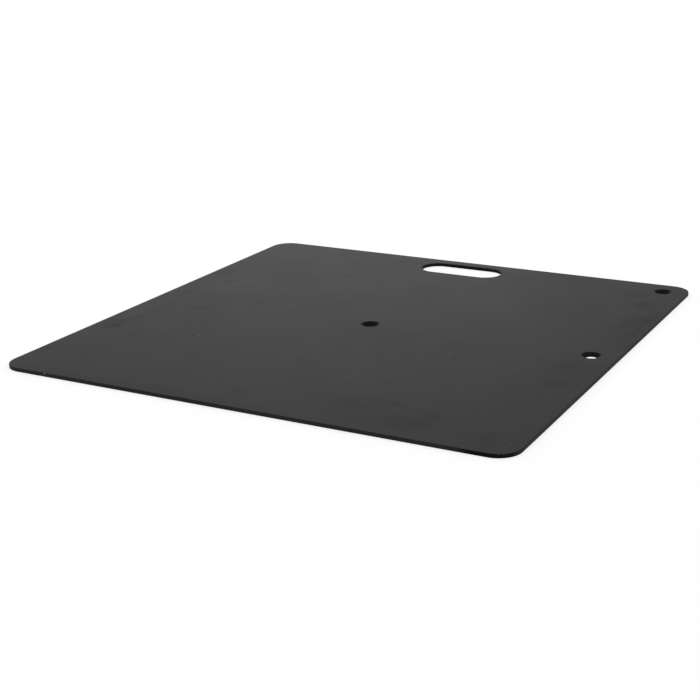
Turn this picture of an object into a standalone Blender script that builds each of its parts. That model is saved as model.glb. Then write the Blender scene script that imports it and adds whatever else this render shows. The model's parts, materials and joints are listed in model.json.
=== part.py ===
"""Pipe and drape base plate: one flat steel plate, cut, countersunk and powder coated.

Units are metres and +Z is up. The origin is the middle of the face that the plate lies on.
+Y points to the edge beside the hand slot, and the countersinks open upwards.
"""

import math

import bmesh
import bpy
from mathutils import Vector

# Plate, as finished: 4 mm steel with about 0.1 mm of coating on each side
PLATE_SIDE = 0.600
PLATE_THICKNESS = 0.0042
CORNER_RADIUS = 0.025
EDGE_ROUNDING = 0.0004

# Hand slot: a long hole with round ends, beside the rear edge
SLOT_LENGTH = 0.110
SLOT_WIDTH = 0.043
SLOT_TO_REAR_EDGE = 0.017

# Fixing holes: the outer two stand this far in from the edges
HOLE_TO_EDGE = 0.030
COUNTERSINK_DIAMETER = 0.022
COUNTERSINK_ANGLE = math.radians(100)

# Fineness of the round stretches
CORNER_STEPS = 12
SLOT_END_STEPS = 24
ROUNDING_STEPS = 2
HOLE_SIDES = 48

# How far a cutter stands past each face of the plate
CUTTER_OVERRUN = 0.002

# Points of an outline closer than this are one point
WELD_DISTANCE = 0.00001

# Edges that turn more than this are rounded, and stay crisp in the shading
SHARP_ANGLE = math.radians(40)

# Dark grey powder coat
COAT_COLOUR = (0.052, 0.055, 0.053, 1.0)
COAT_ROUGHNESS = 0.5


def clear_scene():
    """Remove every object that the scene starts with."""
    for item in list(bpy.data.objects):
        bpy.data.objects.remove(item, do_unlink=True)


def new_collection(name):
    """Make a collection and put it in the scene."""
    collection = bpy.data.collections.new(name)
    bpy.context.scene.collection.children.link(collection)
    return collection


def powder_coat():
    """Make the plate's finish."""
    material = bpy.data.materials.new("powder_coat")
    material.use_nodes = True
    shader = material.node_tree.nodes["Principled BSDF"]
    shader.inputs["Base Color"].default_value = COAT_COLOUR
    shader.inputs["Roughness"].default_value = COAT_ROUGHNESS
    shader.inputs["Metallic"].default_value = 0.0
    return material


def arc(centre, radius, start, turn, steps):
    """Points on an arc that starts at one angle and turns through another."""
    points = []
    for step in range(steps + 1):
        angle = start + turn * step / steps
        points.append(centre + radius * Vector((math.cos(angle), math.sin(angle))))
    return points


def rounded_outline(length, width, radius, steps):
    """Outline of a rectangle about the origin whose corners are quarter circles."""
    reach_x = length / 2 - radius
    reach_y = width / 2 - radius
    corners = ((1, 1), (-1, 1), (-1, -1), (1, -1))
    points = []
    for quarter, (side_x, side_y) in enumerate(corners):
        centre = Vector((side_x * reach_x, side_y * reach_y))
        points += arc(centre, radius, quarter * math.pi / 2, math.pi / 2, steps)
    return points


def add_outline(curve, points):
    """Add one closed outline to a flat curve."""
    spline = curve.splines.new("POLY")
    spline.points.add(len(points) - 1)
    for spline_point, point in zip(spline.points, points):
        spline_point.co = (point.x, point.y, 0.0, 1.0)
    spline.use_cyclic_u = True


def cut_blank(name, collection):
    """Cut the plate's outline and its hand slot from sheet, as one flat extrusion."""
    curve = bpy.data.curves.new(name, "CURVE")
    curve.dimensions = "2D"
    curve.fill_mode = "BOTH"
    curve.extrude = PLATE_THICKNESS / 2
    add_outline(curve, rounded_outline(PLATE_SIDE, PLATE_SIDE, CORNER_RADIUS, CORNER_STEPS))
    slot_y = PLATE_SIDE / 2 - SLOT_TO_REAR_EDGE - SLOT_WIDTH / 2
    slot = rounded_outline(SLOT_LENGTH, SLOT_WIDTH, SLOT_WIDTH / 2, SLOT_END_STEPS // 2)
    add_outline(curve, [point + Vector((0.0, slot_y)) for point in slot])

    outline = bpy.data.objects.new(name + "_outline", curve)
    outline.location = (0.0, 0.0, PLATE_THICKNESS / 2)
    collection.objects.link(outline)
    bpy.context.view_layer.update()
    evaluated = outline.evaluated_get(bpy.context.evaluated_depsgraph_get())
    mesh = bpy.data.meshes.new_from_object(evaluated)
    mesh.name = name

    blank = bpy.data.objects.new(name, mesh)
    blank.matrix_world = outline.matrix_world
    collection.objects.link(blank)
    bpy.data.objects.remove(outline, do_unlink=True)
    weld_caps(mesh)
    return blank


def weld_caps(mesh):
    """Join the flat faces to the cut sides and clear the fill's needless edges."""
    cage = bmesh.new()
    cage.from_mesh(mesh)
    bmesh.ops.remove_doubles(cage, verts=cage.verts, dist=WELD_DISTANCE)
    bmesh.ops.dissolve_limit(
        cage, angle_limit=math.radians(0.5), verts=cage.verts, edges=cage.edges)
    bmesh.ops.recalc_face_normals(cage, faces=cage.faces)
    cage.to_mesh(mesh)
    cage.free()


def round_edges(plate):
    """Take the sharpness off the cut edges of the outline and the hand slot."""
    rounding = plate.modifiers.new("edge_rounding", "BEVEL")
    rounding.width = EDGE_ROUNDING
    rounding.segments = ROUNDING_STEPS
    rounding.limit_method = "ANGLE"
    rounding.angle_limit = SHARP_ANGLE


def countersink_cutter(name, x, y, collection):
    """Make the cone of a countersink, running past both faces of the plate."""
    slope = math.tan(COUNTERSINK_ANGLE / 2)
    top_radius = COUNTERSINK_DIAMETER / 2 + CUTTER_OVERRUN * slope
    depth = PLATE_THICKNESS + 2 * CUTTER_OVERRUN
    bpy.ops.mesh.primitive_cone_add(
        vertices=HOLE_SIDES,
        radius1=top_radius - depth * slope,
        radius2=top_radius,
        depth=depth,
        location=(x, y, PLATE_THICKNESS / 2),
    )
    cutter = bpy.context.active_object
    cutter.name = name
    cutter.hide_render = True
    cutter.display_type = "WIRE"
    for home in list(cutter.users_collection):
        home.objects.unlink(cutter)
    collection.objects.link(cutter)
    return cutter


def cut_with(plate, cutter):
    """Cut one shape out of the plate."""
    cut = plate.modifiers.new(cutter.name, "BOOLEAN")
    cut.operation = "DIFFERENCE"
    cut.solver = "EXACT"
    cut.object = cutter


def build_base_plate(collection, cutters):
    """Make the whole plate: blank, rounded edges, then the three countersunk holes."""
    plate = cut_blank("base_plate", collection)
    plate.data.materials.append(powder_coat())
    round_edges(plate)
    outer = PLATE_SIDE / 2 - HOLE_TO_EDGE
    holes = {
        "centre_hole": (0.0, 0.0),
        "side_hole": (outer, 0.0),
        "corner_hole": (outer, outer),
    }
    for name, (x, y) in holes.items():
        cut_with(plate, countersink_cutter(name, x, y, cutters))
    plate.data.shade_smooth()
    plate.data.set_sharp_from_angle(angle=SHARP_ANGLE)
    return plate


def main():
    clear_scene()
    parts = new_collection("pipe_and_drape_base_plate")
    cutters = new_collection("cutters")
    build_base_plate(parts, cutters)


main()
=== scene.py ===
"""Dress a pipe and drape base plate: its coated surface, the powder coat and a plain studio."""

import json
import math

import bmesh
import bpy
import numpy as np
from bpy.props import FloatProperty, FloatVectorProperty, IntProperty, PointerProperty
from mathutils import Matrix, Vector
from mathutils.geometry import delaunay_2d_cdt


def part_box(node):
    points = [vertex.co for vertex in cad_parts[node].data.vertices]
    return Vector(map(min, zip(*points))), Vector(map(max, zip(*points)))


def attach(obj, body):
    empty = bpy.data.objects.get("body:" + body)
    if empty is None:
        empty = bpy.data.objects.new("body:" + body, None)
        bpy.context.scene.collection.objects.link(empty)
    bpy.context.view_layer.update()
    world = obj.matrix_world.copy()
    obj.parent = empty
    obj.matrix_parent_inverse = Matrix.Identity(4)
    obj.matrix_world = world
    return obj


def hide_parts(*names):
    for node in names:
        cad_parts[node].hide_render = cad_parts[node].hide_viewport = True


bl_info = {
    "name": "Drape base plate",
    "version": (1, 0, 0),
    "blender": (4, 5, 0),
    "location": "3D View > Sidebar > Base Plate",
    "description": "Builds the coated surface of a drape base plate and its studio",
    "category": "Object",
}

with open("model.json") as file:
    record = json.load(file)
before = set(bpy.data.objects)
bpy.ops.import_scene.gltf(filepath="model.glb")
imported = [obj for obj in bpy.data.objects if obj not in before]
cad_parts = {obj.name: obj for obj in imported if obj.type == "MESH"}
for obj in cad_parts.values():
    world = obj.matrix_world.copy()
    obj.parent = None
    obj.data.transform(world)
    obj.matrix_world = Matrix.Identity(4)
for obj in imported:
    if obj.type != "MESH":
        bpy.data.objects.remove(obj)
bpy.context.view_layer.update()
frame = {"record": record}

# The plate's place and size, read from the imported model
LOW, HIGH = (np.array(corner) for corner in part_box("base_plate"))
HALF_SIDE = (HIGH[0] - LOW[0]) / 2
THICKNESS = HIGH[2] - LOW[2]

# Middle of each opening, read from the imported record
OPENINGS = {
    opening["name"]: np.mean(opening["box_m"], axis=0)[:2]
    for opening in frame["record"]["physics"]["openings"]
}
SLOT_CENTRE = OPENINGS["hand_slot"]
HOLE_CENTRES = [OPENINGS[name] for name in sorted(OPENINGS) if name != "hand_slot"]

MM = 0.001

# Holes over painted shade: the floor under them is painted dark for the shade under the plate;
# light ground shows through the others
SHADED_HOLES = ("centre_screw_hole", "corner_screw_hole")
SHADE_RADIUS = 12 * MM

# Floor, in metres: a disc just below the plate, pale near it and plain white far off
FLOOR_RADIUS = 40.0
FLOOR_RINGS = 40
FLOOR_SIDES = 96
FLOOR_DROP = 0.1 * MM
WHITE_FROM = 1.2
WHITE_TO = 3.0

# Steps in each rounding of an edge's section
ROUNDING_STEPS = 7

# Points closer than the first are joined, and than the second are one for the face fill
WELD_DISTANCE = 0.002 * MM
FILL_TOLERANCE = 1e-7

# Width of the camera's sensor in millimetres
SENSOR_WIDTH = 36.0

# Soft marks left by hands on the upper face, and one broad band darker towards the front edge:
# x, y, length, width in millimetres, turn in degrees, and how dark (below 0 is lighter)
MARKS_AND_FRONT_BAND = (
    # left edge, from front to back
    (-292, -232, 22, 14, 90, 0.45),
    (-274, -133, 26, 22, 40, 0.6),
    (-284, -122, 44, 34, 60, 0.35),
    (-267, -90, 62, 11, 82, 0.4),
    (-287, -72, 76, 20, 88, -0.45),
    (-262, -26, 34, 9, 80, 0.25),
    (-276, 28, 36, 12, 84, 0.5),
    (-284, 124, 30, 24, 80, 0.3),
    (-248, 99, 46, 12, 62, 0.45),
    (-234, 96, 50, 12, 62, -0.5),
    # left half of the face
    (-219, -28, 28, 16, 12, 0.3),
    (-167, 18, 22, 10, 80, 0.6),
    (-178, 132, 40, 10, 62, 0.3),
    (-158, 158, 36, 10, 46, 0.32),
    (-126, 174, 44, 11, 12, 0.32),
    (-218, 208, 64, 34, 60, 0.15),
    (-184, 268, 16, 6, 115, 0.7),
    (-95, -2, 20, 7, 40, 0.35),
    (-20, -256, 18, 6, 10, 0.5),
    (18, 42, 46, 5, 60, 0.3),
    # either side of the hand slot
    (-82, 271, 44, 14, 4, 0.35),
    (70, 271, 36, 8, -6, 0.6),
    (82, 254, 60, 9, 8, 0.45),
    # front right
    (140, -70, 19, 7, 112, 0.8),
    (126, -221, 40, 8, -6, 0.3),
    (146, -223, 26, 10, -12, 0.35),
    (184, -232, 50, 9, -14, 0.35),
    (194, -240, 26, 12, -22, 0.32),
    (172, -254, 56, 16, -3, 0.3),
    (190, -262, 30, 18, 4, 0.22),
    (158, -270, 90, 28, 2, 0.3),
    (112, -244, 60, 26, -4, 0.25),
    (262, -270, 46, 16, 98, 0.3),
    # broad band along the front edge, darker towards the front
    (-120, -297, 380, 34, 0, 0.25),
    # right edge, from front to back
    (278, -104, 46, 40, 0, 0.25),
    (262, -103, 34, 26, 90, 0.12),
    (273, -76, 46, 6, 94, 0.3),
    (253, -46, 32, 22, 80, 0.15),
    (266, -40, 46, 44, 10, 0.25),
    (262, -74, 70, 44, 90, 0.12),
    (290, -46, 60, 18, 90, 0.2),
    (297, 49, 34, 10, 90, 0.55),
    (276, 42, 66, 14, 82, 0.25),
    (286, 82, 56, 13, 84, 0.35),
    (268, 116, 56, 14, 92, 0.45),
    (290, 118, 70, 18, 90, 0.3),
    (281, 146, 48, 32, 4, 0.4),
    (293, 160, 44, 16, 90, 0.35),
    (280, 186, 17, 12, -30, 0.3),
    (270, 206, 32, 30, 20, 0.4),
    (262, 201, 11, 10, 0, 0.25),
    (288, 262, 76, 26, 90, 0.25),
    (280, 190, 200, 44, 90, 0.15),
    (243, 240, 26, 24, 10, 0.55),
    (260, 250, 28, 12, 30, 0.3),
    (239, 263, 16, 14, 0, 0.25),
    (172, 283, 24, 12, 0, 0.35),
)

# Ring left by a palm: x, y, length, width, turn and darkness, as above
PALM_RING = (64, -68, 70, 42, 108, 0.14)
PALM_RING_WIDTH = 0.35

# How sharply a mark ends, and how unevenly the hand took the dust off inside it
MARK_FALL = 1.3
SMEAR_GAIN = 2.4
SMEAR_LOSS = 0.25

# Painted shade on the outer wall at the front corner, made by taking its dust off down to the
# dark coat: x, y and radius in millimetres
PAINTED_SHADE_CORNER = (276, -300, 26)

# How much dust is taken off the walls, partly less dust and partly painted shade: all round, on
# the side of +X and in the openings
SHADE_AND_CLEAN_ROUND = 0.20
SHADE_AND_CLEAN_RIGHT = 0.38
SHADE_AND_CLEAN_OPENING = 0.83

# The dust-free painted shade fades over this width at the edge of the outer wall and of a
# countersink
WALL_FADE = 0.4 * MM
COUNTERSINK_FADE = 0.2 * MM

# Points below this height belong to the underside, which gets no dust-free painted shade at the
# openings
UNDERSIDE_HEIGHT = 0.05 * MM

# Chips in the coat on the rims: x, y, z, radius and depth in millimetres, and how pale
RIM_CHIPS = (
    (-237.0, -299.9, 3.2, 1.5, 0.25, 0.9),
    (286.4, -297.7, 4.3, 1.5, 0.05, 0.3),
    (289.8, -295.8, 4.3, 1.7, 0.05, 0.3),
    (35.5, 283.8, 3.5, 1.1, 0.15, 0.4),
)

# Sizes of the patterns in the film of dust, and of the flakes inside a chip
CLOUD_SIZE = 90 * MM
WIPE_SIZE = 24 * MM
WARMTH_SIZE = 160 * MM
SMEAR_SIZE = 12 * MM
PATCH_SIZE = 4 * MM
FLAKE_SIZE = 0.7 * MM

# How much each pattern changes the thickness of the dust, as a share of it
CLOUD_DUST = 0.10
WIPE_DUST = 0.12
GRAIN_DUST = 0.14

# How much the dust-free painted shade of the walls changes from patch to patch, as a share of it
PATCH_SHADE_AND_CLEAN = 0.8

# How much each pattern changes the roughness
CLOUD_ROUGHNESS = 0.08
GRAIN_ROUGHNESS = 0.06
MARK_ROUGHNESS = 0.05

# Soft border of a speck, a chip and the shade under a hole, as a share of the radius
SPECK_SOFTNESS = 0.5
CHIP_SOFTNESS = 0.4
SHADE_SOFTNESS = 0.1

# Specks of dust: x, y and radius in millimetres
DUST_SPECKS = (
    (286.5, -272.0, 0.95),
    (213.5, -74.5, 0.8),
    (271.0, -68.5, 1.1),
    (220.5, -235.0, 0.6),
    (-159.5, -121.0, 1.2),
)


class PlateShape(bpy.types.PropertyGroup):
    """Sizes of the plate that its box doesn't give."""

    corner_radius: FloatProperty(
        name="Corner radius", description="Radius of the four corners",
        default=25 * MM, unit="LENGTH")
    edge_rounding: FloatProperty(
        name="Edge rounding", description="Radius of the coated edges",
        default=0.4 * MM, unit="LENGTH")
    slot_length: FloatProperty(
        name="Slot length", description="Length of the hand slot, end to end",
        default=110 * MM, unit="LENGTH")
    slot_width: FloatProperty(
        name="Slot width", description="Width of the hand slot",
        default=43 * MM, unit="LENGTH")
    slot_rounding: FloatProperty(
        name="Slot rounding", description="Radius of the slot's upper rim, made kind to fingers",
        default=1.5 * MM, unit="LENGTH")
    countersink_diameter: FloatProperty(
        name="Countersink diameter", description="Width of a countersink at the upper face",
        default=22 * MM, unit="LENGTH")
    countersink_angle: FloatProperty(
        name="Countersink angle", description="Whole angle of a countersink's cone",
        default=math.radians(100), subtype="ANGLE")
    rim_rounding: FloatProperty(
        name="Rim rounding", description="Radius where a countersink meets the upper face",
        default=1.0 * MM, unit="LENGTH")
    foot_rounding: FloatProperty(
        name="Foot rounding", description="Radius where a countersink meets the underside",
        default=0.12 * MM, unit="LENGTH")
    edge_spacing: FloatProperty(
        name="Edge spacing", description="Distance between points along a straight edge",
        default=2 * MM, unit="LENGTH")
    face_spacing: FloatProperty(
        name="Face spacing", description="Distance between points on the flat faces",
        default=4 * MM, unit="LENGTH")
    arc_steps: IntProperty(
        name="Arc steps", description="Steps in each quarter turn of an outline", default=24)


class CoatFinish(bpy.types.PropertyGroup):
    """Colours and texture of the powder coat."""

    # Bare coat colour, kept very dark so that it also paints shade in the openings, on the walls
    # and at the front corner
    coat_and_shade_colour: FloatVectorProperty(
        name="Coat colour", description="Clean powder coat, as inside the openings",
        subtype="COLOR", size=3, default=(0.0030, 0.0031, 0.0032))
    dusty_colour: FloatVectorProperty(
        name="Dusty colour", description="Coat under a film of dust",
        subtype="COLOR", size=3, default=(0.0225, 0.0253, 0.0233))
    wiped_colour: FloatVectorProperty(
        name="Wiped colour", description="Coat under dust in the warmer, wiped patches",
        subtype="COLOR", size=3, default=(0.0236, 0.0252, 0.0240))
    chip_colour: FloatVectorProperty(
        name="Chip colour", description="Pale primer where the coat is chipped",
        subtype="COLOR", size=3, default=(0.14, 0.14, 0.13))
    speck_colour: FloatVectorProperty(
        name="Speck colour", description="Dust and lint",
        subtype="COLOR", size=3, default=(0.12, 0.12, 0.11))
    roughness: FloatProperty(
        name="Roughness", description="Roughness of the clean coat",
        default=0.5, min=0, max=1)
    specular: FloatProperty(
        name="Specular level", description="Strength of the coat's reflections",
        default=0.03, min=0, max=1)
    grain_size: FloatProperty(
        name="Grain size", description="Size of the fine powder grain",
        default=0.8 * MM, unit="LENGTH")
    grain_height: FloatProperty(
        name="Grain height", description="Height of the fine powder grain",
        default=0.02 * MM, unit="LENGTH")
    peel_size: FloatProperty(
        name="Peel size", description="Size of the slow waves in the coat",
        default=4 * MM, unit="LENGTH")
    peel_height: FloatProperty(
        name="Peel height", description="Height of the slow waves in the coat",
        default=0.02 * MM, unit="LENGTH")
    mark_strength: FloatProperty(
        name="Mark strength", description="How much a hand mark takes off the dust",
        default=0.38, min=0, max=1)


class StudioLook(bpy.types.PropertyGroup):
    """Camera, floor and lights."""

    camera_place: FloatVectorProperty(
        name="Camera place", description="Where the camera stands",
        subtype="TRANSLATION", size=3, default=(0.723903, -1.368961, 0.491852))
    camera_turn: FloatVectorProperty(
        name="Camera turn", description="Camera rotation about X, Y and Z",
        subtype="EULER", size=3, default=(1.247187, 0.021171, 0.495110))
    lens: FloatProperty(
        name="Lens", description="Focal length in millimetres on a 36 mm sensor",
        default=71.216)
    floor_colour: FloatVectorProperty(
        name="Floor colour", description="Plain pale floor",
        subtype="COLOR", size=3, default=(0.40, 0.40, 0.40))
    floor_lift: FloatProperty(
        name="Floor lift", description="White added to the floor for the camera",
        default=0.68)
    # Painted shade on the floor under the two far holes
    hole_shade: FloatProperty(
        name="Hole shade", description="How dark the ground is under the two far holes",
        default=0.98, min=0, max=1)
    ambient: FloatProperty(
        name="Ambient", description="Light from all round", default=0.77)
    box_width: FloatProperty(
        name="Box width", description="Width of each low soft box", default=2.4, unit="LENGTH")
    box_height: FloatProperty(
        name="Box height", description="Height of each low soft box", default=0.6, unit="LENGTH")
    left_place: FloatVectorProperty(
        name="Left place", description="Where the soft box behind the left corner stands",
        subtype="TRANSLATION", size=3, default=(-1.573, 1.687, 0.662))
    left_power: FloatProperty(
        name="Left power", description="Watts of the left soft box", default=6.3)
    right_place: FloatVectorProperty(
        name="Right place", description="Where the soft box behind the hand slot stands",
        subtype="TRANSLATION", size=3, default=(-0.532, 2.303, 0.417))
    right_power: FloatProperty(
        name="Right power", description="Watts of the right soft box", default=3.15)


class Value:
    """A number that changes over a surface: a shader socket that takes arithmetic."""

    def __init__(self, surface, socket):
        self.surface = surface
        self.socket = socket

    def math(self, operation, *others):
        """Add a Math node with this value first and the others after it."""
        sockets = dict(enumerate((self,) + others))
        made = self.surface.node("ShaderNodeMath", {"operation": operation}, sockets)
        return Value(self.surface, made.outputs[0])

    def reversed_math(self, operation, other):
        """Add a Math node with this value second."""
        sockets = {0: other, 1: self}
        made = self.surface.node("ShaderNodeMath", {"operation": operation}, sockets)
        return Value(self.surface, made.outputs[0])

    def __add__(self, other):
        return self.math("ADD", other)

    def __radd__(self, other):
        return self.math("ADD", other)

    def __sub__(self, other):
        return self.math("SUBTRACT", other)

    def __rsub__(self, other):
        return self.reversed_math("SUBTRACT", other)

    def __mul__(self, other):
        return self.math("MULTIPLY", other)

    def __rmul__(self, other):
        return self.math("MULTIPLY", other)

    def highest(self, other):
        """The larger of two values."""
        return self.math("MAXIMUM", other)

    def between(self, low, high):
        """Nought below low, one above high and a smooth step between them."""
        settings = {"interpolation_type": "SMOOTHSTEP"}
        sockets = {"Value": self, "From Min": low, "From Max": high}
        made = self.surface.node("ShaderNodeMapRange", settings, sockets)
        return Value(self.surface, made.outputs["Result"])


class Surface:
    """A material or world being made, with one method that adds any node."""

    def __init__(self, tree):
        self.tree = tree
        self.tree.nodes.clear()

    def node(self, kind, settings=None, sockets=None):
        """Add a node of one kind, set it up, then fill or link its sockets."""
        made = self.tree.nodes.new(kind)
        for name, value in (settings or {}).items():
            setattr(made, name, value)
        for name, value in (sockets or {}).items():
            self.feed(made.inputs[name], value)
        return made

    def feed(self, socket, value):
        """Link a socket to another, or give it a fixed value."""
        if isinstance(value, Value):
            self.tree.links.new(value.socket, socket)
        elif isinstance(value, bpy.types.NodeSocket):
            self.tree.links.new(value, socket)
        else:
            socket.default_value = value

    def place(self):
        """Position on the piece, in metres."""
        return self.node("ShaderNodeTexCoord").outputs["Object"]

    def noise(self, place, size, detail=2.0, roughness=0.5, stretch=(1.0, 1.0, 1.0)):
        """Cloudy noise with features of one size, from nought to one."""
        scaled = self.node("ShaderNodeMapping", None, {"Vector": place, "Scale": stretch})
        sockets = {
            "Vector": scaled.outputs["Vector"],
            "Scale": 1.0 / size,
            "Detail": detail,
            "Roughness": roughness,
        }
        made = self.node("ShaderNodeTexNoise", None, sockets)
        return Value(self, made.outputs["Fac"])

    def spot(self, place, centre, radius, softness):
        """One inside a ball, falling smoothly to nought at its edge."""
        made = self.node(
            "ShaderNodeVectorMath", {"operation": "DISTANCE"}, {0: place, 1: centre})
        distance = Value(self, made.outputs["Value"])
        return 1.0 - distance.between(radius * (1.0 - softness), radius)

    def attribute(self, name):
        """A value stored on the mesh's points."""
        made = self.node("ShaderNodeAttribute", {"attribute_name": name})
        return Value(self, made.outputs["Fac"])

    def blend(self, share, first, second):
        """Mix two colours; share is how much of the second one shows."""
        settings = {"data_type": "RGBA"}
        sockets = {0: share, 6: opaque(first), 7: opaque(second)}
        return self.node("ShaderNodeMix", settings, sockets).outputs[2]

    def bump(self, height, distance, normal=None):
        """Turn a height into a bumped normal."""
        sockets = {"Height": height, "Distance": distance, "Strength": 1.0}
        if normal is not None:
            sockets["Normal"] = normal
        return self.node("ShaderNodeBump", None, sockets).outputs["Normal"]


def opaque(colour):
    """A colour with its fourth number, or a socket as it is."""
    if isinstance(colour, (Value, bpy.types.NodeSocket)):
        return colour
    return (*colour[:3], 1.0)


def powder_coat(finish):
    """Dark powder coat: fine grain, slow waves, dust film, hand marks, specks and chips."""
    material = bpy.data.materials.new("powder_coat")
    material.use_nodes = True
    coat = Surface(material.node_tree)
    place = coat.place()

    grain = coat.noise(place, finish.grain_size, detail=3.0, roughness=0.6)
    peel = coat.noise(place, finish.peel_size, detail=1.0)
    cloud = coat.noise(place, CLOUD_SIZE, detail=4.0, roughness=0.6)
    wiped = coat.noise(place, WIPE_SIZE, detail=4.0, roughness=0.65, stretch=(1.0, 0.3, 1.0))
    warmth = coat.noise(place, WARMTH_SIZE, detail=2.0).between(0.4, 0.6)

    # Hands took dust off unevenly, so the smears break their marks up
    smear = coat.noise(place, SMEAR_SIZE, detail=4.0, roughness=0.7)
    marks = coat.attribute("marks_and_front_band") * (SMEAR_GAIN * smear - SMEAR_LOSS).highest(0.0)

    # The openings, the outer walls and the front corner are partly free of dust and partly
    # painted shade, in patches
    patch = coat.noise(place, PATCH_SIZE, detail=2.0)
    clean_and_shaded = coat.attribute("shade_and_clean") * (1.0 + PATCH_SHADE_AND_CLEAN * (patch - 0.5))

    # Dust lies on all the rest: one is its plain thickness
    dust = 1.0 + CLOUD_DUST * (cloud - 0.5) + WIPE_DUST * (wiped - 0.5)
    dust = dust + GRAIN_DUST * (grain - 0.5)
    dust = (dust - finish.mark_strength * marks) * (1.0 - clean_and_shaded)

    dusty = coat.blend(warmth, finish.dusty_colour, finish.wiped_colour)
    # Where dust is thin the dark coat shows; on walls and in openings this is also painted shade
    colour = coat.blend(dust, finish.coat_and_shade_colour, dusty)
    specks = None
    for x, y, radius in DUST_SPECKS:
        centre = (x * MM, y * MM, THICKNESS)
        speck = coat.spot(place, centre, radius * MM, SPECK_SOFTNESS)
        specks = speck if specks is None else specks.highest(speck)
    colour = coat.blend(specks, colour, finish.speck_colour)
    chips = None
    for x, y, z, radius, _, paleness in RIM_CHIPS:
        centre = (x * MM, y * MM, z * MM)
        chip = coat.spot(place, centre, radius * MM, CHIP_SOFTNESS) * paleness
        chips = chip if chips is None else chips.highest(chip)
    chips = chips * coat.noise(place, FLAKE_SIZE, detail=2.0).between(0.3, 0.6)
    colour = coat.blend(chips, colour, finish.chip_colour)

    roughness = finish.roughness + CLOUD_ROUGHNESS * (cloud - 0.5)
    roughness = roughness + GRAIN_ROUGHNESS * (grain - 0.5) + MARK_ROUGHNESS * marks

    normal = coat.bump(peel, finish.peel_height)
    normal = coat.bump(grain, finish.grain_height, normal)

    sockets = {
        "Base Color": colour,
        "Roughness": roughness,
        "Metallic": 0.0,
        "Specular IOR Level": finish.specular,
        "Normal": normal,
    }
    shader = coat.node("ShaderNodeBsdfPrincipled", None, sockets)
    coat.node("ShaderNodeOutputMaterial", None, {"Surface": shader.outputs["BSDF"]})
    return material


def outline_loop(centre, half_x, half_y, radius, spacing, arc_steps):
    """Points round a rectangle with quarter-circle corners, or round a circle.

    Gives for each point the middle of the curve it lies on and its outward direction, so
    that middle + direction * r is the same loop at corner radius r.
    """
    middles, directions = [], []
    reach = np.array((half_x, half_y)) - radius
    corners = np.array(((1, 1), (-1, 1), (-1, -1), (1, -1))) * reach + centre
    for quarter in range(4):
        turn = (quarter + np.arange(arc_steps) / arc_steps) * math.pi / 2
        middles.append(np.repeat(corners[quarter][None], arc_steps, axis=0))
        directions.append(np.stack((np.cos(turn), np.sin(turn)), axis=1))
        run = corners[(quarter + 1) % 4] - corners[quarter]
        count = math.ceil(np.linalg.norm(run) / spacing)
        if np.linalg.norm(run) > spacing / 2:
            share = np.arange(count)[:, None] / count
            angle = (quarter + 1) * math.pi / 2
            middles.append(corners[quarter] + run * share)
            directions.append(np.repeat([[math.cos(angle), math.sin(angle)]], count, axis=0))
    return np.concatenate(middles), np.concatenate(directions)


def rounded_corner(before, corner, after, radius, steps):
    """Arc of one radius that touches both sides of a profile's corner."""
    to_before = (before - corner) / np.linalg.norm(before - corner)
    to_after = (after - corner) / np.linalg.norm(after - corner)
    opening = math.acos(np.clip(to_before @ to_after, -1.0, 1.0))
    touch = radius / math.tan(opening / 2)
    inward = (to_before + to_after) / np.linalg.norm(to_before + to_after)
    middle = corner + inward * radius / math.sin(opening / 2)
    first = corner + to_before * touch - middle
    last = corner + to_after * touch - middle
    sweep = math.pi - opening
    share = np.linspace(0.0, 1.0, steps + 1)[:, None]
    return middle + (np.sin((1 - share) * sweep) * first + np.sin(share * sweep) * last) / (
        math.sin(sweep))


def edge_profile(lean, top_radius, bottom_radius, margin):
    """Section through an edge, from the upper face over the cut wall to the underside.

    The first number of each point is its distance into the steel from the upper rim and
    the second its height. lean is how far the wall's foot stands out past its top.
    """
    top_start = np.array((margin, THICKNESS))
    top = np.array((0.0, THICKNESS))
    bottom = np.array((-lean, 0.0))
    bottom_end = np.array((margin - lean, 0.0))
    return np.concatenate((
        top_start[None],
        rounded_corner(top_start, top, bottom, top_radius, ROUNDING_STEPS),
        rounded_corner(top, bottom, bottom_end, bottom_radius, ROUNDING_STEPS),
        bottom_end[None],
    ))


def sweep_profile(loop, radius, into_steel, profile):
    """Carry a profile round a loop: a grid of profile points by loop points."""
    middles, directions = loop
    reach = radius + into_steel * profile[:, 0]
    flat = middles[None] + directions[None] * reach[:, None, None]
    height = np.repeat(profile[:, 1][:, None, None], flat.shape[1], axis=1)
    return np.concatenate((flat, height), axis=2)


def grid_quads(rows, columns, first):
    """Faces of a grid that closes on itself along its columns."""
    row, column = np.meshgrid(np.arange(rows - 1), np.arange(columns), indexing="ij")
    following = (column + 1) % columns
    corners = (
        row * columns + column,
        row * columns + following,
        (row + 1) * columns + following,
        (row + 1) * columns + column,
    )
    return first + np.stack([corner.ravel() for corner in corners], axis=1)


def distance_outside(points, centre, half_x, half_y, radius):
    """Distance from a rounded rectangle, below nought inside it."""
    reach = np.abs(points - centre) - (np.array((half_x, half_y)) - radius)
    outside = np.linalg.norm(np.maximum(reach, 0.0), axis=1)
    return outside + np.minimum(reach.max(axis=1), 0.0) - radius


def closed_edges(first, count):
    """Index pairs that join a run of points into a loop."""
    here = first + np.arange(count)
    return np.stack((here, first + (np.arange(count) + 1) % count), axis=1)


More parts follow.
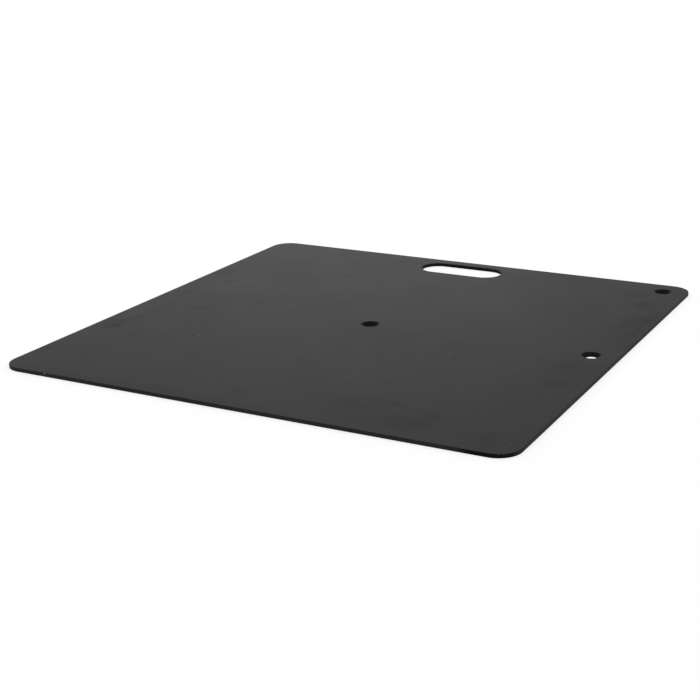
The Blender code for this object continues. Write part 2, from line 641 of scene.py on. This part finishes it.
def face_fill(loops, openings, margin, spacing, height):
    """Triangles between the outer loop and the openings, on a square grid of points."""
    steps = np.arange(-HALF_SIDE + spacing, HALF_SIDE - spacing / 2, spacing)
    grid = np.stack(np.meshgrid(steps, steps), axis=-1).reshape(-1, 2)
    outer = openings[0]
    keep = distance_outside(grid, *outer) < -(margin + spacing / 2)
    for opening in openings[1:]:
        keep &= distance_outside(grid, *opening) > margin + spacing / 2
    points = np.concatenate((*loops, grid[keep]))
    starts = np.cumsum([0] + [len(loop) for loop in loops])
    edges = np.concatenate([closed_edges(s, len(loop)) for s, loop in zip(starts, loops)])
    found = delaunay_2d_cdt(points.tolist(), edges.tolist(), [], 0, FILL_TOLERANCE, False)
    points = np.array([tuple(point) for point in found[0]])
    triangles = np.array(found[2])
    centres = points[triangles].mean(axis=1)
    keep = np.ones(len(triangles), bool)
    for centre, half_x, half_y, radius in openings[1:]:
        keep &= distance_outside(
            centres, centre, half_x + margin, half_y + margin, radius + margin) > 0
    return np.column_stack((points, np.full(len(points), height))), triangles[keep]


def shade_and_clean(points, corner_radius, openings, rims):
    """How dust-free each point is, from nought on the flat faces to one; on the walls and in the
    openings this is also painted shade.

    An opening's value falls evenly from its wall outwards over a rim's width. The outer wall
    is partly dust-free and painted darker all round, more so to the right. At the painted shade
    corner it is 2 - 1.5 d, held between nought and one, with d the distance from its middle as a
    share of its radius.
    """
    opening = np.max([
        np.clip(1.0 - distance_outside(points[:, :2], *opening) / rim, 0.0, 1.0)
        for opening, rim in zip(openings, rims)], axis=0)
    # Painted shade in the openings as well as less dust there
    opening *= SHADE_AND_CLEAN_OPENING * (points[:, 2] > UNDERSIDE_HEIGHT)
    x, y, radius = PAINTED_SHADE_CORNER
    corner = np.linalg.norm(points[:, :2] - np.array((x, y)) * MM, axis=1) / (radius * MM)
    to_right = np.clip((points[:, 0] - HALF_SIDE) / corner_radius + 1.0, 0.0, 1.0)
    all_round = SHADE_AND_CLEAN_ROUND + (SHADE_AND_CLEAN_RIGHT - SHADE_AND_CLEAN_ROUND) * to_right
    # Painted shade at the front corner
    wall_clean_and_shade = np.maximum(all_round, np.clip(2.0 - 1.5 * corner, 0.0, 1.0))
    outer = distance_outside(points[:, :2], np.zeros(2), HALF_SIDE, HALF_SIDE, corner_radius)
    wall = np.clip(1.0 + outer / WALL_FADE, 0.0, 1.0) * wall_clean_and_shade
    return np.maximum(wall, opening)


def marks_and_front_band(points):
    """Strength of the marks at each point of the upper face.

    A mark is its strength times exp(-MARK_FALL d cubed), with d the distance from its middle
    as a share of the oval. The ring is a bell about d = 1.
    """
    total = np.zeros(len(points))
    for x, y, length, width, turn, strength in MARKS_AND_FRONT_BAND:
        distance = oval_distance(points, x, y, length, width, turn)
        total += strength * np.exp(-MARK_FALL * distance ** 3)
    x, y, length, width, turn, strength = PALM_RING
    ring = (oval_distance(points, x, y, length, width, turn) - 1.0) / PALM_RING_WIDTH
    total += strength * np.exp(-(ring ** 2))
    return total * (points[:, 2] > THICKNESS / 2)


def oval_distance(points, x, y, length, width, turn):
    """Distance from an oval's middle, as a share of its half length and half width."""
    angle = math.radians(turn)
    along = np.array((math.cos(angle), math.sin(angle)))
    across = np.array((-along[1], along[0]))
    offset = points[:, :2] - np.array((x, y)) * MM
    return np.hypot(offset @ along / (length * MM / 2), offset @ across / (width * MM / 2))


def press_chips(points):
    """Lower the upper half at each chip by its depth times exp(-d squared), d in its radii."""
    pressed = points.copy()
    for x, y, z, radius, depth, _ in RIM_CHIPS:
        centre = np.array((x, y, z)) * MM
        share = np.exp(-((np.linalg.norm(points - centre, axis=1) / (radius * MM)) ** 2))
        pressed[:, 2] -= share * depth * MM * (points[:, 2] > THICKNESS / 2)
    return pressed


def mesh_object(name, points, quads, triangles):
    """Put points and faces into a mesh object, joined and facing outwards."""
    mesh = bpy.data.meshes.new(name)
    mesh.from_pydata(points.tolist(), [], quads.tolist() + triangles.tolist())
    cage = bmesh.new()
    cage.from_mesh(mesh)
    bmesh.ops.remove_doubles(cage, verts=cage.verts, dist=WELD_DISTANCE)
    bmesh.ops.recalc_face_normals(cage, faces=cage.faces)
    if any(not edge.is_manifold for edge in cage.edges):
        raise RuntimeError(name + " isn't closed")
    cage.to_mesh(mesh)
    cage.free()
    made = bpy.data.objects.new(name, mesh)
    bpy.context.scene.collection.objects.link(made)
    return made


class BASEPLATE_OT_build_plate(bpy.types.Operator):
    """Build the coated plate: rims swept round each outline, and filled flat faces"""

    bl_idname = "baseplate.build_plate"
    bl_label = "Build plate"

    def execute(self, context):
        shape = context.scene.plate_shape
        hole = shape.countersink_diameter / 2
        lean = THICKNESS * math.tan(shape.countersink_angle / 2)
        margin = 2 * shape.slot_rounding
        edge = (shape.edge_rounding, shape.edge_rounding)
        grip = (shape.slot_rounding, shape.edge_rounding)
        rim = (shape.rim_rounding, shape.foot_rounding)
        outer = (np.zeros(2), HALF_SIDE, HALF_SIDE, shape.corner_radius)
        slot = (SLOT_CENTRE, shape.slot_length / 2, shape.slot_width / 2, shape.slot_width / 2)
        holes = [(centre, hole, hole, hole) for centre in HOLE_CENTRES]
        # Shape, the side of the loop that the steel is on (-1 is inside), lean and roundings
        cuts = [(outer, -1.0, 0.0, edge), (slot, 1.0, 0.0, grip)]
        cuts += [(opening, 1.0, lean, rim) for opening in holes]

        points, quads, top_loops, bottom_loops = [], [], [], []
        count = 0
        for opening, into_steel, lean_here, radii in cuts:
            loop = outline_loop(*opening, shape.edge_spacing, shape.arc_steps)
            profile = edge_profile(lean_here, *radii, margin)
            rows = sweep_profile(loop, opening[3], into_steel, profile)
            top_loops.append(rows[0, :, :2])
            bottom_loops.append(rows[-1, :, :2])
            quads.append(grid_quads(rows.shape[0], rows.shape[1], count))
            points.append(rows.reshape(-1, 3))
            count += rows.shape[0] * rows.shape[1]

        foot = hole - lean
        feet = [(centre, foot, foot, foot) for centre in HOLE_CENTRES]
        faces = (
            (top_loops, [outer, slot] + holes, THICKNESS),
            (bottom_loops, [outer, slot] + feet, 0.0),
        )
        triangles = []
        for loops, openings, height in faces:
            found, fill = face_fill(loops, openings, margin, shape.face_spacing, height)
            points.append(found)
            triangles.append(fill + count)
            count += len(found)

        points = press_chips(np.concatenate(points) + np.array((0.0, 0.0, LOW[2])))
        plate = mesh_object(
            "coated_plate", points, np.concatenate(quads), np.concatenate(triangles))
        plate.data.shade_smooth()
        points = np.empty(len(plate.data.vertices) * 3, np.float32)
        plate.data.vertices.foreach_get("co", points)
        points = points.reshape(-1, 3)
        store_on_points(plate.data, "marks_and_front_band", marks_and_front_band(points))
        rims = [shape.slot_rounding] + [COUNTERSINK_FADE] * len(holes)
        # Painted shade on the walls and in the openings, stored with the dust-free share
        clean_and_shaded = shade_and_clean(points, shape.corner_radius, [slot] + holes, rims)
        store_on_points(plate.data, "shade_and_clean", clean_and_shaded)
        plate.data.materials.append(powder_coat(context.scene.coat_finish))
        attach(plate, "root")
        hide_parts("base_plate")
        return {"FINISHED"}


def store_on_points(mesh, name, values):
    """Keep one number for each point on the mesh, for the coat to read."""
    stored = mesh.attributes.new(name, "FLOAT", "POINT")
    stored.data.foreach_set("value", values.astype(np.float32))


def disc_grid(radius, height, rings, sides):
    """Points of a level disc: radius grows with the square of the ring's number."""
    ring = (np.arange(1, rings + 1) / rings) ** 2 * radius
    turn = np.arange(sides) / sides * 2 * math.pi
    flat = ring[:, None, None] * np.stack((np.cos(turn), np.sin(turn)), axis=1)[None]
    return np.concatenate((flat, np.full(flat.shape[:2] + (1,), height)), axis=2)


def seen_rays(surface):
    """One for rays that show a background: from the camera, off gloss or through glass."""
    path = surface.node("ShaderNodeLightPath")
    camera = Value(surface, path.outputs["Is Camera Ray"])
    glossy = Value(surface, path.outputs["Is Glossy Ray"])
    through = Value(surface, path.outputs["Is Transmission Ray"])
    return camera.highest(glossy).highest(through)


def floor_finish(studio):
    """Pale floor that keeps the plate's shadow, with painted shade under two holes, plain white
    far off and clear from below.
    """
    material = bpy.data.materials.new("studio_floor")
    material.use_nodes = True
    floor = Surface(material.node_tree)
    seen = seen_rays(floor)
    place = floor.place()
    distance = floor.node("ShaderNodeVectorMath", {"operation": "LENGTH"}, {0: place})
    far = Value(floor, distance.outputs["Value"]).between(WHITE_FROM, WHITE_TO)
    white = (1.0, 1.0, 1.0, 1.0)
    # Painted shade: dark discs on the floor, without the white lift, under the centre and corner
    # holes
    shade = None
    for name in SHADED_HOLES:
        centre = (*OPENINGS[name], LOW[2])
        spot = floor.spot(place, centre, SHADE_RADIUS, SHADE_SOFTNESS)
        shade = spot if shade is None else shade.highest(spot)
    shade = shade * studio.hole_shade
    pale = floor.blend(shade, studio.floor_colour, (0.0, 0.0, 0.0))
    diffuse = floor.node("ShaderNodeBsdfDiffuse", None, {"Color": pale})
    strength = seen * studio.floor_lift * (1.0 - shade)
    lift = floor.node("ShaderNodeEmission", None, {"Color": white, "Strength": strength})
    near = floor.node(
        "ShaderNodeAddShader", None, {0: diffuse.outputs[0], 1: lift.outputs[0]})
    plain = floor.node("ShaderNodeEmission", None, {"Color": white, "Strength": 1.0})
    above = floor.node(
        "ShaderNodeMixShader", None, {0: seen * far, 1: near.outputs[0], 2: plain.outputs[0]})
    clear = floor.node("ShaderNodeBsdfTransparent")
    side = floor.node("ShaderNodeNewGeometry")
    both = floor.node(
        "ShaderNodeMixShader", None,
        {0: side.outputs["Backfacing"], 1: above.outputs[0], 2: clear.outputs[0]})
    floor.node("ShaderNodeOutputMaterial", None, {"Surface": both.outputs[0]})
    return material


def area_lamp(name, place, size, power):
    """A soft box that faces the plate and that the camera doesn't see."""
    lamp = bpy.data.lights.new(name, "AREA")
    lamp.shape = "RECTANGLE"
    lamp.size, lamp.size_y = size
    lamp.energy = power
    made = bpy.data.objects.new(name, lamp)
    bpy.context.scene.collection.objects.link(made)
    made.location = place
    made.rotation_euler = Vector(place).to_track_quat("Z", "Y").to_euler()
    made.visible_camera = False


def white_world(studio):
    """White behind everything that is seen, and a softer light for the object."""
    world = bpy.data.worlds.new("studio_world")
    world.use_nodes = True
    around = Surface(world.node_tree)
    seen = seen_rays(around)
    strength = seen + studio.ambient * (1.0 - seen)
    background = around.node(
        "ShaderNodeBackground", None, {"Color": (1.0, 1.0, 1.0, 1.0), "Strength": strength})
    around.node("ShaderNodeOutputWorld", None, {"Surface": background.outputs[0]})
    bpy.context.scene.world = world


class BASEPLATE_OT_set_stage(bpy.types.Operator):
    """Set the floor, the lights and the camera"""

    bl_idname = "baseplate.set_stage"
    bl_label = "Set stage"

    def execute(self, context):
        scene = context.scene
        studio = scene.studio_look
        height = LOW[2] - FLOOR_DROP
        rows = disc_grid(FLOOR_RADIUS, height, FLOOR_RINGS, FLOOR_SIDES)
        points = np.concatenate((rows.reshape(-1, 3), [[0.0, 0.0, height]]))
        middle = np.full(FLOOR_SIDES, len(points) - 1)
        fan = np.column_stack((closed_edges(0, FLOOR_SIDES), middle))
        mesh = bpy.data.meshes.new("floor")
        quads = grid_quads(FLOOR_RINGS, FLOOR_SIDES, 0)[:, ::-1]
        faces = quads.tolist() + fan.tolist()
        mesh.from_pydata(points.tolist(), [], faces)
        floor = bpy.data.objects.new("floor", mesh)
        scene.collection.objects.link(floor)
        mesh.materials.append(floor_finish(studio))
        # The light from all round passes the floor, so that the underside is lit too
        floor.visible_diffuse = False

        white_world(studio)
        box = (studio.box_width, studio.box_height)
        area_lamp("left_box", studio.left_place, box, studio.left_power)
        area_lamp("right_box", studio.right_place, box, studio.right_power)

        camera = bpy.data.objects.new("camera", bpy.data.cameras.new("camera"))
        scene.collection.objects.link(camera)
        camera.location = studio.camera_place
        camera.rotation_euler = studio.camera_turn
        camera.data.sensor_width = SENSOR_WIDTH
        camera.data.lens = studio.lens
        scene.camera = camera
        scene.view_settings.view_transform = "Standard"
        return {"FINISHED"}


class BASEPLATE_PT_panel(bpy.types.Panel):
    """Sidebar list of the plate's steps and settings"""

    bl_idname = "BASEPLATE_PT_panel"
    bl_label = "Base Plate"
    bl_space_type = "VIEW_3D"
    bl_region_type = "UI"
    bl_category = "Base Plate"

    def draw(self, context):
        layout = self.layout
        for group in (
            context.scene.plate_shape, context.scene.coat_finish, context.scene.studio_look
        ):
            box = layout.box()
            for name in group.__annotations__:
                box.prop(group, name)
        for operator in STEPS:
            layout.operator(operator.bl_idname)


GROUPS = {"plate_shape": PlateShape, "coat_finish": CoatFinish, "studio_look": StudioLook}
STEPS = (BASEPLATE_OT_set_stage, BASEPLATE_OT_build_plate)
CLASSES = (*GROUPS.values(), *STEPS, BASEPLATE_PT_panel)


def register():
    """Make the settings, the steps and the panel known to Blender."""
    for item in CLASSES:
        bpy.utils.register_class(item)
    for name, group in GROUPS.items():
        setattr(bpy.types.Scene, name, PointerProperty(type=group))


def unregister():
    """Take the settings, the steps and the panel out again."""
    for name in GROUPS:
        delattr(bpy.types.Scene, name)
    for item in reversed(CLASSES):
        bpy.utils.unregister_class(item)


def main():
    register()
    bpy.ops.baseplate.set_stage()
    bpy.ops.baseplate.build_plate()


if __name__ == "__main__":
    main()
